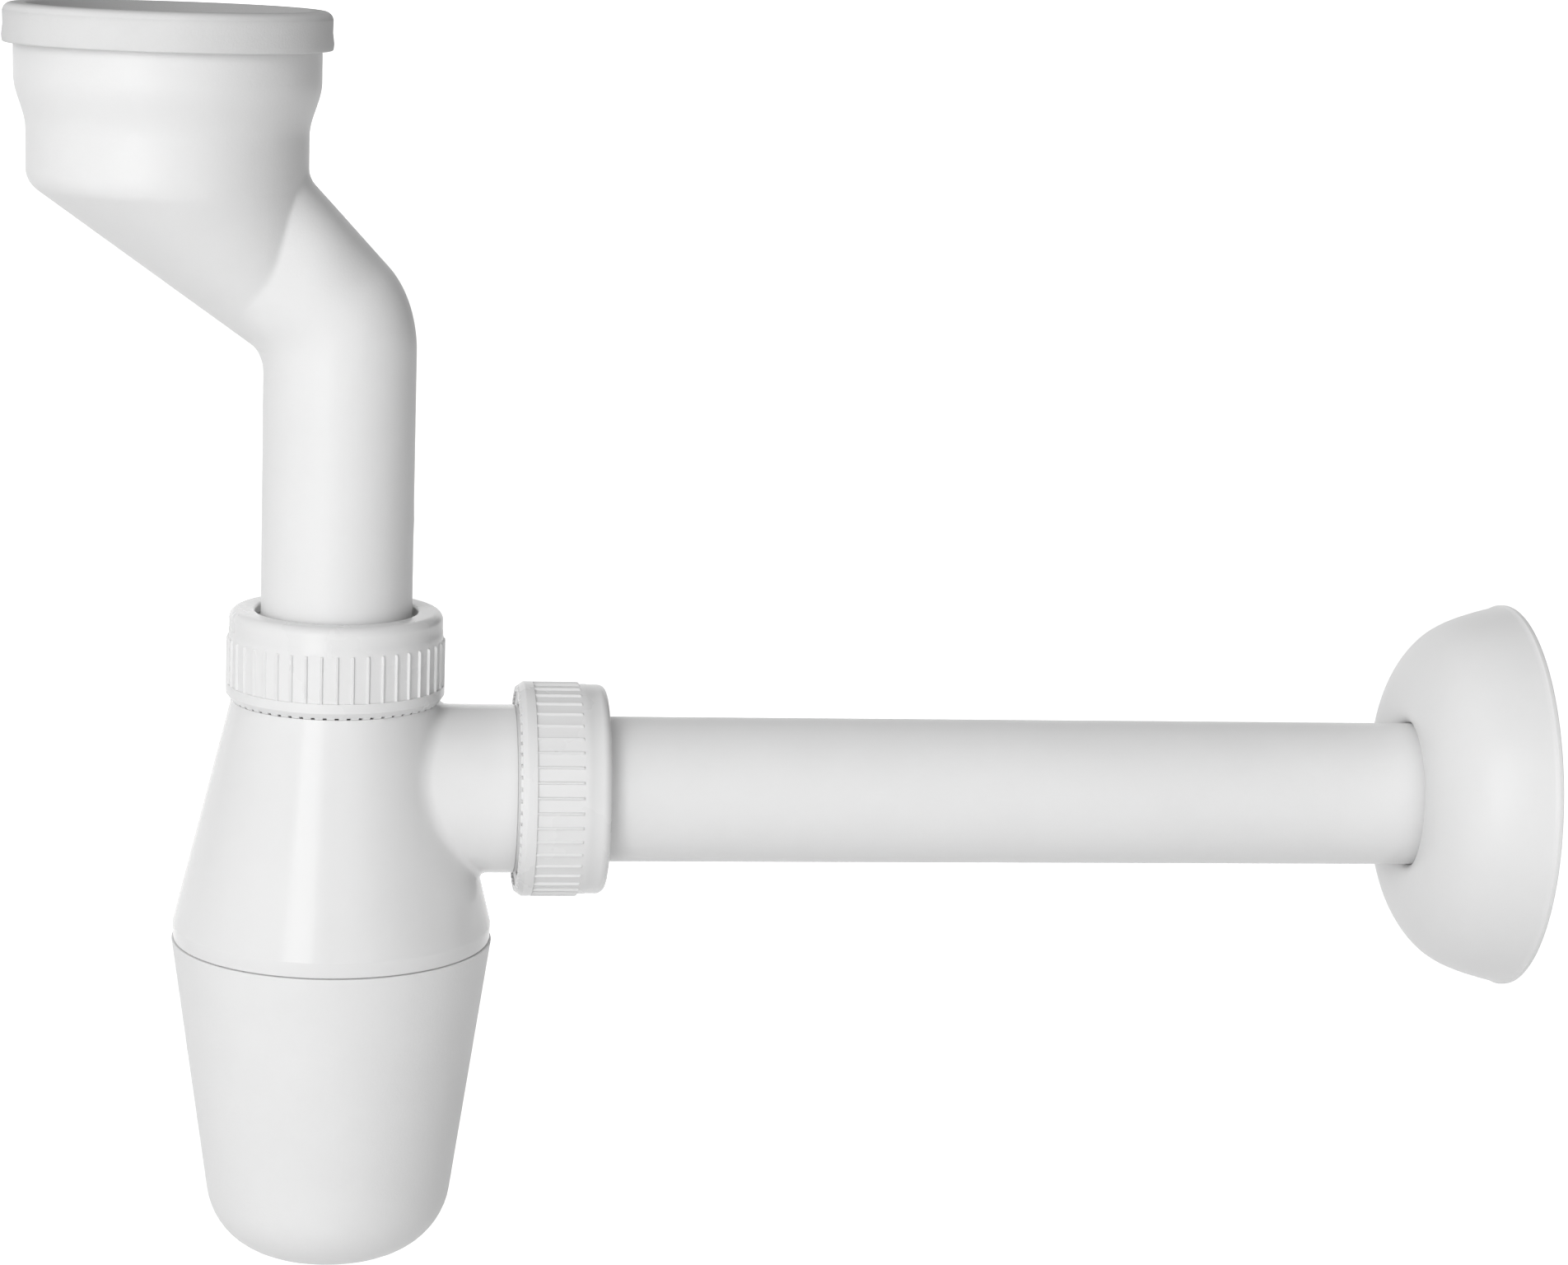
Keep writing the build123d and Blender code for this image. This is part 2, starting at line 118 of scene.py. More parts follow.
class Skin:
    """Points and faces of one piece, in millimetres along the piece's own axis."""

    def __init__(self):
        self.points, self.faces = [], []

    def add(self, points):
        first = len(self.points)
        self.points.extend(np.asarray(points, float).reshape(-1, 3).tolist())
        return first

    def grid(self, points, closed=False, skip=None):
        """Quads between rings of points. Closed joins the last ring to the first."""
        rows, cols = points.shape[:2]
        first = self.add(points)
        for i in range(rows if closed else rows - 1):
            for j in range(cols):
                if skip is not None and skip(j):
                    continue
                k, m = (i + 1) % rows, (j + 1) % cols
                self.faces.append((first + i * cols + j, first + i * cols + m,
                                   first + k * cols + m, first + k * cols + j))

    def mesh(self, name, body, replaces, place=None, sharp=32):
        """Object that rides on a body and stands for a CAD node."""
        bm = bmesh.new()
        made = [bm.verts.new(p) for p in self.points]
        for face in self.faces:
            bm.faces.new([made[i] for i in face])
        bmesh.ops.remove_doubles(bm, verts=bm.verts, dist=MERGE)
        bmesh.ops.dissolve_degenerate(bm, edges=bm.edges, dist=MERGE)
        bmesh.ops.recalc_face_normals(bm, faces=bm.faces)
        bm.transform(Matrix.Scale(MM, 4) @ (place or Matrix.Identity(4)))
        data = bpy.data.meshes.new(name)
        bm.to_mesh(data)
        bm.free()
        data.polygons.foreach_set("use_smooth", [True] * len(data.polygons))
        data.set_sharp_from_angle(angle=radians(sharp))
        obj = bpy.data.objects.new(name, data)
        bpy.context.scene.collection.objects.link(obj)
        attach(obj, body)
        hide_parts(replaces)
        return obj


def ring_points(outline, angles, swell=None):
    """Points of an outline turned about Z. swell(r, z, angle) moves them outwards."""
    outline = np.asarray(outline, float)
    angles = np.asarray(angles, float)
    r = np.repeat(outline[:, :1], len(angles), 1)
    z = np.repeat(outline[:, 1:2], len(angles), 1)
    if swell is not None:
        r = r + swell(r, z, np.repeat(angles[None], len(outline), 0))
    return np.stack([r * np.cos(angles), r * np.sin(angles), z], -1)


def even(count):
    return np.arange(count) * 2 * pi / count


def on_bottle(height=0.0):
    return Matrix.Translation((OFFSET, 0, OUTLET_Z + height))


def on_outlet(along=0.0):
    return on_bottle() @ Matrix.Rotation(pi / 2, 4, "Y") @ Matrix.Translation((0, 0, along))


# Threads: pitch and depth, and the shape of a tooth in shares of its pitch and its depth

NUT_THREAD, CUP_THREAD = (3.0, 0.95), (4.0, 0.7)
TOOTH_PEAK, TOOTH_SLOPE, THREAD_FADE = 1.35, 5.2, 0.45
INNER_THREAD = 0.5  # an inner thread lies half a pitch from the outer one


def ridge(z, angle, thread, low, high, shift=0.0):
    """Height of a right-hand screw thread, which fades out at both ends."""
    pitch, depth = thread
    phase = (z / pitch - angle / (2 * pi) + shift) % 1
    tooth = np.clip(TOOTH_PEAK - np.abs(phase - 0.5) * TOOTH_SLOPE, 0, 1)
    fade = THREAD_FADE * pitch
    return depth * tooth * np.clip((z - low) / fade, 0, 1) * np.clip((high - z) / fade, 0, 1)


# Inlet funnel

CUP_R, CUP_LOWER_R, CUP_TOP = 40.1, 36.95, 3.0
STEP_TOP, STEP_BOTTOM = -12.4, -26.8
SLOPE, CORNER_Z, CORNER_ROUND = radians(35.4), -40.3, 7.0
NECK_END_LEFT, NECK_END_RIGHT = 27.35, 42.2
NECK_END_Z = CORNER_Z - (CUP_LOWER_R + NECK_END_LEFT) * tan(SLOPE)
TUBE_R, TUBE_WALL, WALL = 20.4, 2.0, 2.4
ELBOW_Z, ELBOW_TURN, ELBOW_R, SLANT_LENGTH = -77.2, radians(43.0), 12.6, 45.0
DIP_END_Z = OUTLET_Z - 72.0
DIP_CHAMFER = 0.4
FLATNESS, FLAT_AFTER = 0.6, 20.0  # the slanted tube is a little flatter than round

# The crease between neck and tube is sharp in front, and soft at the sides and low down.
# The sides are where the distance from the plane of the bend is small.
SIDE_FILLET, FRONT_FILLET, INNER_ELBOW = 7.0, 1.6, 3.5
SIDE_REACH, SIDE_FADE = 14.0, 8.0
LOW_TOP, LOW_FADE = -58.0, 14.0
LEAST_BLEND = 1e-3

# Rays find the surface. They start from the cup's axis, lower down from the neck's middle,
# and at the end from the tube's axis.
LEAVE_Z, LEAVE_SPAN = -28.0, 16.0
ARRIVE_Z, ARRIVE_SPAN = -80.0, 14.0
SLANT_SHARE = 0.9  # how much of the slanted tube's width the neck's middle takes in
RAY_START, RAY_END, HALVINGS, PROBE = 4.0, 95.0, 22, 0.05

# Heights between which the funnel's rings stand close, and then closest
NECK_TOP, ELBOW_TOP, ELBOW_BOTTOM = -36.2, -78.0, -100.0


def eased(share):
    return share * share * (3 - 2 * share)


def blend_width(radius, half_turn):
    """Width of a blend that gives a fillet of a radius, from the cosine of half the turn."""
    return 4 * radius * (1 - half_turn)


def smooth_least(a, b, width):
    """The lesser of two distances, blended where they differ by less than the width."""
    mix = np.clip(0.5 + 0.5 * (b - a) / width, 0, 1)
    return b * (1 - mix) + a * mix - width * mix * (1 - mix)


def cup_half_width(z):
    share = np.clip((z - (STEP_TOP + STEP_BOTTOM) / 2) / ((STEP_TOP - STEP_BOTTOM) / 2), -1, 1)
    return (CUP_R + CUP_LOWER_R) / 2 + (CUP_R - CUP_LOWER_R) / 2 * np.sin(share * pi / 2)


def neck_edges(z):
    """Left and right edge of the cup and the slanted neck at a height."""
    turn = pi / 2 - SLOPE
    arc_top = CORNER_Z + CORNER_ROUND * tan(turn / 2)
    arc_end = arc_top - CORNER_ROUND * sin(turn)
    lift = np.clip((arc_top - z) / CORNER_ROUND, 0, sin(turn))
    left_arc = -CUP_LOWER_R + CORNER_ROUND * (1 - np.sqrt(1 - lift**2))
    left_line = -CUP_LOWER_R + (CORNER_Z - z) / tan(SLOPE)
    left = np.where(z > arc_top, -cup_half_width(z), np.where(z > arc_end, left_arc, left_line))
    lean = (NECK_END_RIGHT - CUP_LOWER_R) / (CORNER_Z - NECK_END_Z)
    right = np.where(z > arc_top, cup_half_width(z),
                     CUP_LOWER_R + lean * np.maximum(0, CORNER_Z - z))
    return left, right


def cup_distance(x, y, z, inset):
    left, right = neck_edges(z - inset / 2 * (z < CORNER_Z))
    return np.hypot(x - (left + right) / 2, y) - (right - left) / 2 + inset


def tube_distance(x, y, z, inset):
    """Distance from the bent tube, with a rounded inner side at the elbow."""
    run = ELBOW_R * tan(ELBOW_TURN / 2)
    px, pz = x - (OFFSET - ELBOW_R), z - (ELBOW_Z - run)
    along = -px * sin(ELBOW_TURN) + pz * cos(ELBOW_TURN)
    slanted = px * cos(ELBOW_TURN) + pz * sin(ELBOW_TURN) - ELBOW_R
    upright = px - ELBOW_R
    width = np.hypot(INNER_ELBOW, blend_width(np.maximum(px, 0), cos(ELBOW_TURN / 2)))
    flat = -smooth_least(-slanted, -upright, width)
    power = 2 + FLATNESS * eased(np.clip(along / FLAT_AFTER, 0, 1))
    tube = (np.abs(flat) ** power + np.abs(y) ** power) ** (1 / power) - TUBE_R + inset
    return np.maximum(tube, along - (SLANT_LENGTH - run))


def evened(distance, x, y, z, inset):
    """A distance divided by how fast it grows, and the direction in which it grows."""
    way = np.stack([
        distance(x + PROBE, y, z, inset) - distance(x - PROBE, y, z, inset),
        distance(x, y + PROBE, z, inset) - distance(x, y - PROBE, z, inset),
        distance(x, y, z + PROBE, inset) - distance(x, y, z - PROBE, inset)]) / (2 * PROBE)
    speed = np.sqrt((way**2).sum(0)) + 1e-9
    return distance(x, y, z, inset) / speed, way / speed


def funnel_distance(x, y, z, inner):
    """Distance from the cup, neck and tube, with a fillet where they meet."""
    cup, cup_way = evened(cup_distance, x, y, z, WALL if inner else 0)
    tube, tube_way = evened(tube_distance, x, y, z, TUBE_WALL if inner else 0)
    half_turn = np.sqrt(np.clip((1 + (cup_way * tube_way).sum(0)) / 2, 0, 1))
    at_side = (SIDE_REACH - np.abs(y)) / SIDE_FADE
    low_down = (LOW_TOP - z) / LOW_FADE
    softness = np.clip(np.maximum(at_side, low_down), 0, 1)
    fillet = FRONT_FILLET + (SIDE_FILLET - FRONT_FILLET) * softness
    return smooth_least(cup, tube, blend_width(fillet, half_turn) + LEAST_BLEND)


def funnel_middle(z):
    """X from which the rays of a ring start."""
    left, right = neck_edges(z)
    reach = TUBE_R / cos(ELBOW_TURN) * SLANT_SHARE
    axis = np.where(z > ELBOW_Z, OFFSET - (z - ELBOW_Z) * tan(ELBOW_TURN), OFFSET)
    low = np.maximum(left, axis - reach)
    high = np.minimum(right, axis + reach)
    middle = np.where(low < high, (low + high) / 2, OFFSET)
    into_neck = eased(np.clip((LEAVE_Z - z) / LEAVE_SPAN, 0, 1))
    into_tube = np.clip((ARRIVE_Z - z) / ARRIVE_SPAN, 0, 1)
    return middle * into_neck * (1 - into_tube) + OFFSET * into_tube


def funnel_side(heights, count, inner):
    """Rings of the funnel's outer or inner side, found along rays from its middle."""
    z = np.repeat(heights[:, None], count, 1)
    angle = np.repeat(even(count)[None], len(heights), 0)
    middle = funnel_middle(z)
    low, high = np.full(z.shape, RAY_START), np.full(z.shape, RAY_END)
    for _ in range(HALVINGS):
        r = (low + high) / 2
        inside = funnel_distance(middle + r * np.cos(angle), r * np.sin(angle), z, inner) < 0
        low, high = np.where(inside, r, low), np.where(inside, high, r)
    r = (low + high) / 2
    return np.stack([middle + r * np.cos(angle), r * np.sin(angle), z], -1)


def levels(*spans):
    """Heights of rings, from (first, last, count) spans."""
    return np.concatenate([np.linspace(*span) for span in spans])


def build_funnel():
    step = 0.7 * COARSE
    outside = np.concatenate([
        [CUP_TOP], levels((0, STEP_TOP, 5), (-13, -27, 22), (-28, -35.5, 6)),
        np.arange(NECK_TOP, ELBOW_TOP, -step), np.arange(ELBOW_TOP, ELBOW_BOTTOM, -step / 2),
        levels((-102, -140, 8), (-160, DIP_END_Z + DIP_CHAMFER, 8)), [DIP_END_Z]])
    inside = np.concatenate([
        [CUP_TOP], levels((0, STEP_TOP, 4), (-13, -27, 12), (-29, -35, 4)),
        np.arange(NECK_TOP, ELBOW_BOTTOM, -1.5 * step),
        levels((-104, -140, 5), (-170, DIP_END_Z, 6))])
    count = 288 // COARSE
    outer = funnel_side(outside, count, False)
    inner = funnel_side(inside, count, True)
    pull = DIP_CHAMFER / TUBE_R
    outer[-1] = outer[-2] - (outer[-2] - [OFFSET, 0, 0]) * [pull, pull, 0]
    outer[-1, :, 2] = DIP_END_Z
    skin = Skin()
    skin.grid(np.concatenate([outer, inner[::-1]]), closed=True)
    return skin.mesh("funnel_shell", "inlet", "inlet_funnel")


# Inlet cuff

SEAL_R, SEAL_LENGTH, SEAL_LIP = 30.0, 12.0, 3.0
CUFF_R, CUFF_TOP, CUFF_BOTTOM, MOUTH_R = 43.1, 6.0, -4.2, 37.0


def build_cuff():
    lip_r, cup_inner = SEAL_R + SEAL_LIP, CUP_R - WALL
    waist = [(CUFF_R, -2.4), (CUFF_R - 0.35, 0.4), (CUFF_R - 0.25, 4.0)]
    outline = rounded([
        (SEAL_R, 0, 0.5), (SEAL_R, -SEAL_LENGTH, 0.6), (lip_r, -SEAL_LENGTH, 0.6),
        (lip_r, CUFF_BOTTOM), (cup_inner, CUFF_BOTTOM), (cup_inner, CUP_TOP), (CUP_R, CUP_TOP),
        (CUP_R, CUFF_BOTTOM), (CUFF_R - 0.2, CUFF_BOTTOM, 0.5), *waist,
        (CUFF_R - 0.1, CUFF_TOP, 2.4), (MOUTH_R, CUFF_TOP, 1.4)], 7)
    skin = Skin()
    skin.grid(ring_points(outline, even(256 // COARSE)), closed=True)
    return skin.mesh("cuff_ring", "inlet", "inlet_cuff", sharp=40)


# Nuts, with the open end at zero

NUT_R, COLLAR_R, NUT_HEIGHT, NUT_THREAD_R = 28.95, 29.55, 24.5, 24.4
NUT_MOUTH_R, CAP_INSIDE = 21.9, 21.9
COLLAR_LENGTH, COLLAR_EDGE_R, COLLAR_EDGE_Z = 4.3, 28.55, 1.7
GRIP_END, GRIP_STEP = 19.0, 0.12
THREAD_START, THREAD_LOW, THREAD_HIGH = 0.8, 1.0, 18.5

# Ribs: half a rib's width, the part of it that slopes, and the points between two ribs
RIBS, RIB_END, RIB_END_ROUND = 44, 17.0, 0.7
RIB_HALF, RIB_FLANK, BETWEEN_RIBS = 0.44, 0.31, (1.25, 2.09, 2.93)
RIB_ROWS = (7, 1.1, 0.7, 0.45, 0.25, 0.1, 0)  # how far each row of points is from RIB_END

# Small teeth round the open end
TEETH, TOOTH_HALF, TOOTH_MIDDLE_R = 56, 1.05, 28.5
TOOTH_END, TOOTH_TOP, TOOTH_ROOT = -0.2, 0.32, 0.5
TOOTH_INNER_R, TOOTH_OUTER_R, TOOTH_CHAMFER = 26.8, 28.6, 0.4


def nut_angles():
    near = [RIB_HALF - RIB_FLANK, RIB_FLANK, RIB_HALF]
    across = np.array([-a for a in reversed(near)] + near + list(BETWEEN_RIBS))
    return (even(RIBS)[:, None] + across[None] / NUT_R).ravel()


def rib_swell(r, z, angle):
    from_rib = ((angle * RIBS / (2 * pi) + 0.5) % 1 - 0.5) * 2 * pi * NUT_R / RIBS
    across = np.sin(np.clip((RIB_HALF - np.abs(from_rib)) / RIB_FLANK, 0, 1) * pi / 2)
    end = np.sqrt(1 - (1 - np.clip((RIB_END - z) / RIB_END_ROUND, 0, 1)) ** 2)
    on_wall = (r > NUT_R - 0.01) & (r < COLLAR_R - 0.1) & (z > COLLAR_LENGTH + 0.005)
    return on_wall * (COLLAR_R - NUT_R) * across * end


def nut_swell(r, z, angle):
    inner = (np.abs(r - NUT_THREAD_R) < SAME_R) & (z < CAP_INSIDE - 0.3)
    thread = ridge(z, angle, NUT_THREAD, THREAD_LOW, THREAD_HIGH, INNER_THREAD)
    return rib_swell(r, z, angle) - inner * thread


def add_teeth(skin):
    section = np.array([
        (TOOTH_INNER_R, TOOTH_END), (TOOTH_OUTER_R - TOOTH_CHAMFER, TOOTH_END),
        (TOOTH_OUTER_R, TOOTH_TOP), (TOOTH_OUTER_R, TOOTH_ROOT), (TOOTH_INNER_R, TOOTH_ROOT)])
    n = len(section)
    for k in range(TEETH):
        middle = 2 * pi * (k + 0.5) / TEETH
        sides = [middle + side / TOOTH_MIDDLE_R for side in (-TOOTH_HALF, TOOTH_HALF)]
        first = skin.add(ring_points(section, sides).transpose(1, 0, 2))
        for i in range(n):
            m = (i + 1) % n
            skin.faces.append((first + i, first + m, first + n + m, first + n + i))
        skin.faces.append(tuple(first + i for i in range(n)))
        skin.faces.append(tuple(first + n + i for i in reversed(range(n))))


def build_nut(name, body, node, place):
    grip_r = NUT_R - GRIP_STEP
    outer = rounded([
        (NUT_THREAD_R + THREAD_START, TOOTH_TOP), (COLLAR_EDGE_R, TOOTH_TOP, 0.1),
        (COLLAR_R, COLLAR_EDGE_Z, 0.3), (COLLAR_R, COLLAR_LENGTH, 0.12), (NUT_R, COLLAR_LENGTH),
        (NUT_R, COLLAR_LENGTH + 0.02), *[(NUT_R, RIB_END - row) for row in RIB_ROWS],
        (NUT_R, GRIP_END), (grip_r, GRIP_END + 0.25), (grip_r, NUT_HEIGHT, 2.4),
        (NUT_MOUTH_R, NUT_HEIGHT, 0.9), (NUT_MOUTH_R, CAP_INSIDE, 0.2),
        (NUT_THREAD_R, CAP_INSIDE)], 7)
    thread_end = (NUT_THREAD_R, THREAD_START)
    thread = between((NUT_THREAD_R, CAP_INSIDE - 0.4), thread_end, 0.3 * COARSE)
    skin = Skin()
    skin.grid(ring_points([*outer, *thread, thread_end], nut_angles(), nut_swell), closed=True)
    add_teeth(skin)
    return skin.mesh(name, body, node, place, sharp=38)


# Trap body, heights from the outlet's axis

BODY_R, BODY_CORNER, CONE_TOP, CONE_TOP_R = 43.45, -37.6, 24.9, 28.1
LEAN = (BODY_R - CONE_TOP_R) / (CONE_TOP - BODY_CORNER)
# The wall with the branch's hole starts this far above the cone's top, and ends at this height
CONE_SPARE, CONE_LOW = 5.0, -32.0
NECK_R, NECK_EDGE, SEAT_R, SEAT_DEPTH = 22.9, 0.25, 22.4, 3.2
TOP_NECK_END, BRANCH_END = 43.5, 67.9
BRANCH_R, BRANCH_ROUND, BRANCH_SHOULDER, SHOULDER_EDGE = 23.2, 2.6, 49.0, 0.15
CEILING, CHAMBER_LOW, OUTLET_BORE_START = 21.0, -24.0, 45.0
SPIGOT_R, SPIGOT_WALL, SPIGOT_BOTTOM, SPIGOT_EDGE = 38.8, 2.2, -52.0, 0.3
TOP_BORE, OUTLET_BORE = 20.9, 20.5
SKIRT_R, SKIRT_BOTTOM, SEAM_R, SEAM_BOTTOM = 43.25, -41.72, 42.6, -41.9


def cone(z):
    return CONE_TOP_R + LEAN * (CONE_TOP - np.asarray(z, float))


def chamber(z):
    """Radius of the hollow in the body at a height."""
    return np.minimum(SPIGOT_R - SPIGOT_WALL, cone(z) - WALL)


def holed_cone(skin, radius_at, heights, count, half_angle, hole_r, rings):
    """Turned wall with a round hole for the branch. Returns the hole's ring and its angles."""
    rows = np.array([(radius_at(z), z) for z in heights])
    points = ring_points(rows, even(count))
    reach = int(round(half_angle / (2 * pi / count)))
    skin.grid(points, skip=lambda j: j < reach or j >= count - reach)
    cols = [j % count for j in range(-reach, reach + 1)]
    last = len(heights) - 1
    loop = ([points[last, j] for j in cols] + [points[i, cols[-1]] for i in range(last - 1, 0, -1)]
            + [points[0, j] for j in reversed(cols)] + [points[i, cols[0]] for i in range(1, last)])
    loop = np.array(loop)
    turn = np.arctan2(loop[:, 2], loop[:, 1])
    far = np.hypot(loop[:, 1], loop[:, 2])
    grid = [loop]
    for k in range(1, rings + 1):
        share = k / rings
        rho = far * (1 - share) + hole_r * share
        y, z = rho * np.cos(turn), rho * np.sin(turn)
        x = np.sqrt(np.maximum(radius_at(z) ** 2 - y**2, 0))
        grid.append(np.stack([x, y, z], -1))
    skin.grid(np.array(grid))
    return grid[-1], turn


def along_x(skin, first_ring, turn, outline):
    """Tube about X that starts from a ring, from (radius, x) pairs or functions of the angle."""
    rows = [first_ring]
    for radius, x in outline:
        r = radius(turn) if callable(radius) else np.full(len(turn), radius)
        rows.append(np.stack([np.full(len(turn), x), r * np.cos(turn), r * np.sin(turn)], -1))
    skin.grid(np.array(rows))


def pressed_down(points):
    """Points with those above the cone's top moved down to it."""
    points = np.array(points)
    points[:, 2] = np.minimum(points[:, 2], CONE_TOP)
    return points


def branch_thread(x):
    """Radius of the branch's thread at a place along it, as a function of the angle."""
    low, high = BRANCH_SHOULDER + 2.5, BRANCH_END - 0.6
    return lambda a: NECK_R + ridge(np.full(len(a), x), a, NUT_THREAD, low, high)


def neck_swell(r, z, angle):
    return (np.abs(r - NECK_R) < SAME_R) * ridge(
        z, angle, NUT_THREAD, CONE_TOP + 2.8, TOP_NECK_END - 0.6)


def spigot_swell(r, z, angle):
    return (np.abs(r - SPIGOT_R) < SAME_R) * ridge(
        z, angle, CUP_THREAD, SPIGOT_BOTTOM + 0.8, SEAM_BOTTOM - 0.7)


def add_branch(skin, count):
    """The cone's wall, the blend round the branch, and the branch with its thread."""
    heights = levels((CONE_TOP + CONE_SPARE, CONE_TOP, 4), (CONE_TOP - 1.8, CONE_LOW, 30))
    outer = Skin()
    ring, turn = holed_cone(outer, cone, heights, count, radians(64), BRANCH_R + BRANCH_ROUND, 6)
    edge_y, edge_z = BRANCH_R * np.cos(turn), BRANCH_R * np.sin(turn)
    edge = np.stack([np.sqrt(cone(edge_z) ** 2 - edge_y**2), edge_y, edge_z], -1)
    far = edge + [BRANCH_ROUND, 0, 0]
    steps = np.linspace(0, 1, 9)[:, None, None]
    outer.grid((1 - steps) ** 2 * ring + 2 * steps * (1 - steps) * edge + steps**2 * far)
    base = skin.add(pressed_down(outer.points))
    skin.faces += [tuple(base + i for i in face) for face in outer.faces]
    rows = np.arange(BRANCH_SHOULDER + 0.3, BRANCH_END - 0.35, 0.3 * COARSE)
    along_x(skin, pressed_down(far), turn, [
        (BRANCH_R, BRANCH_SHOULDER - SHOULDER_EDGE), (BRANCH_R - SHOULDER_EDGE, BRANCH_SHOULDER),
        (NECK_R, BRANCH_SHOULDER), *[(branch_thread(x), x) for x in rows],
        (NECK_R, BRANCH_END - NECK_EDGE), (NECK_R - NECK_EDGE, BRANCH_END),
        (SEAT_R, BRANCH_END), (OUTLET_BORE, BRANCH_END - SEAT_DEPTH)])


def add_chamber(skin, count):
    """The hollow's wall and the bore through the branch."""
    heights = np.linspace(CEILING, CHAMBER_LOW, 24)
    hole, turn = holed_cone(skin, chamber, heights, count, radians(50), OUTLET_BORE, 5)
    along_x(skin, hole, turn, [
        (OUTLET_BORE, OUTLET_BORE_START), (OUTLET_BORE, BRANCH_END - SEAT_DEPTH)])


def build_body():
    skin = Skin()
    count = 256 // COARSE
    step = 0.3 * COARSE
    add_branch(skin, count)
    add_chamber(skin, count)
    top = [(float(chamber(CEILING)), CEILING), (TOP_BORE, CEILING),
           (TOP_BORE, TOP_NECK_END - SEAT_DEPTH), (SEAT_R, TOP_NECK_END),
           (NECK_R - NECK_EDGE, TOP_NECK_END), (NECK_R, TOP_NECK_END - NECK_EDGE),
           *between((NECK_R, TOP_NECK_END - 2 * NECK_EDGE), (NECK_R, CONE_TOP), step),
           (NECK_R, CONE_TOP), (float(cone(CONE_TOP + CONE_SPARE)), CONE_TOP)]
    skin.grid(ring_points(top, even(count), neck_swell))
    skirt = rounded([
        (float(cone(CONE_LOW)), CONE_LOW), (BODY_R, BODY_CORNER, 1.5),
        (SKIRT_R, SKIRT_BOTTOM, 0.25), (SEAM_R, SKIRT_BOTTOM), (SEAM_R, SEAM_BOTTOM),
        (SPIGOT_R, SEAM_BOTTOM, 0.2)], 5)
    spigot_end = (SPIGOT_R, SPIGOT_BOTTOM + SPIGOT_EDGE)
    lower = [*skirt, *between((SPIGOT_R, SEAM_BOTTOM - 0.3), spigot_end, step), spigot_end,
             (SPIGOT_R - SPIGOT_EDGE, SPIGOT_BOTTOM), (SPIGOT_R - SPIGOT_WALL, SPIGOT_BOTTOM),
             (float(chamber(CHAMBER_LOW)), CHAMBER_LOW)]
    skin.grid(ring_points(lower, even(count), spigot_swell))
    return skin.mesh("body_shell", "trap", "trap_body", on_bottle(), sharp=34)


# Outlet pipe, along X from the bottle's axis

PIPE_START, PIPE_END, PIPE_R, PIPE_INNER_R = 44.0, 339.0, 20.0, 18.2
PIPE_INLET_EDGE, PIPE_CHAMFER = 0.6, 0.8
MARK_FROM_END, MARK_WIDTH, MARK_DEPTH, MARK_SLOPE = 29.0, 1.0, 0.3, 0.05


def build_pipe():
    mark_end = PIPE_END - MARK_FROM_END
    mark_start, mark_r = mark_end - MARK_WIDTH, PIPE_R - MARK_DEPTH
    outline = rounded([
        (PIPE_INNER_R, PIPE_START), (PIPE_R - PIPE_INLET_EDGE, PIPE_START),
        (PIPE_R, PIPE_START + PIPE_INLET_EDGE), (PIPE_R, mark_start - MARK_SLOPE),
        (mark_r, mark_start + MARK_SLOPE), (mark_r, mark_end - MARK_SLOPE),
        (PIPE_R, mark_end + MARK_SLOPE), (PIPE_R, PIPE_END - PIPE_CHAMFER, 0.4),
        (PIPE_R - PIPE_CHAMFER, PIPE_END, 0.3), (PIPE_INNER_R, PIPE_END, 0.3)], 4)
    rings = filled_in([*outline, outline[0]], 12)[:-1]
    skin = Skin()
    skin.grid(ring_points(rings, even(192 // COARSE)), closed=True)
    return skin.mesh("outlet_tube", "pipe", "outlet_pipe", on_outlet())


# Wall flange, along X from the bottle's axis

RIM_X, RIM_R, RIM_STEP, RIM_EDGE = 330.5, 53.88, 0.4, 1.2
NOSE_X, NOSE_R, FLANGE_WALL = 300.4, 29.0, 1.6
HOLE_X, HOLE_R, THROAT_R, THROAT_DEPTH = 303.6, 20.2, 22.0, 0.55
GRIP_X, GRIP_R, GRIP_LENGTH = 308.6, 20.05, 1.5
DOME = ((0.40, 0.11), (0.70, 0.33), (0.88, 0.64))  # shares of the way from nose to rim
NOSE_LEAN, RIM_LEAN = 0.35, 0.25  # how far the dome leans out for each step along X


